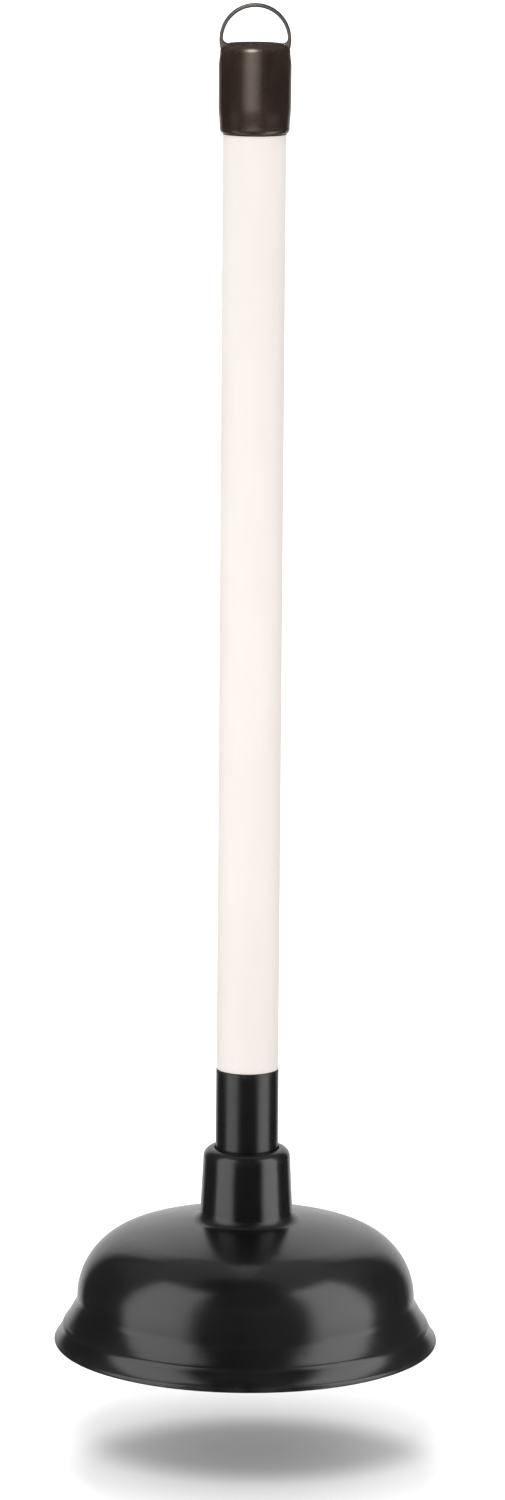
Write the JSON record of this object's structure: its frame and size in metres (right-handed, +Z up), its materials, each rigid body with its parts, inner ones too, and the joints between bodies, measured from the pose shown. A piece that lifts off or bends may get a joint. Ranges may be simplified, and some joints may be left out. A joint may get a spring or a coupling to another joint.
{
  "type": "toilet plunger",
  "caption": "Rubber force cup on a film-covered wooden handle with a screw connector and a hanging cap, for clearing blocked drains and toilets.",
  "frame": {"origin": "centre of the rim's flat underside, where the plunger stands", "axes": "+Z up along the handle; the hanging loop lies in the XZ plane, so a hook passes through it along Y"},
  "size_m": [0.14, 0.14, 0.4882],
  "materials": {
    "black_rubber": "satin moulded rubber",
    "black_plastic": "semi-matt moulded plastic",
    "bare_wood": "turned, unfinished",
    "cream_film": "smooth shrunk film",
    "brown_plastic": "satin moulded plastic"
  },
  "bodies": {
    "cup": {"rubber_cup": "black_rubber"},
    "handle": {"screw_connector": "black_plastic", "handle_stick": "bare_wood", "handle_film": "cream_film", "hanger_cap": "brown_plastic"}
  },
  "joints": [
    {"name": "cup_stroke", "type": "slide", "parent": "cup", "child": "handle", "axis": [0, 0, -1], "range_m": [-0.005, 0.022], "stiffness_N_per_m": 2500, "deforming": ["rubber_cup"]}
  ]
}
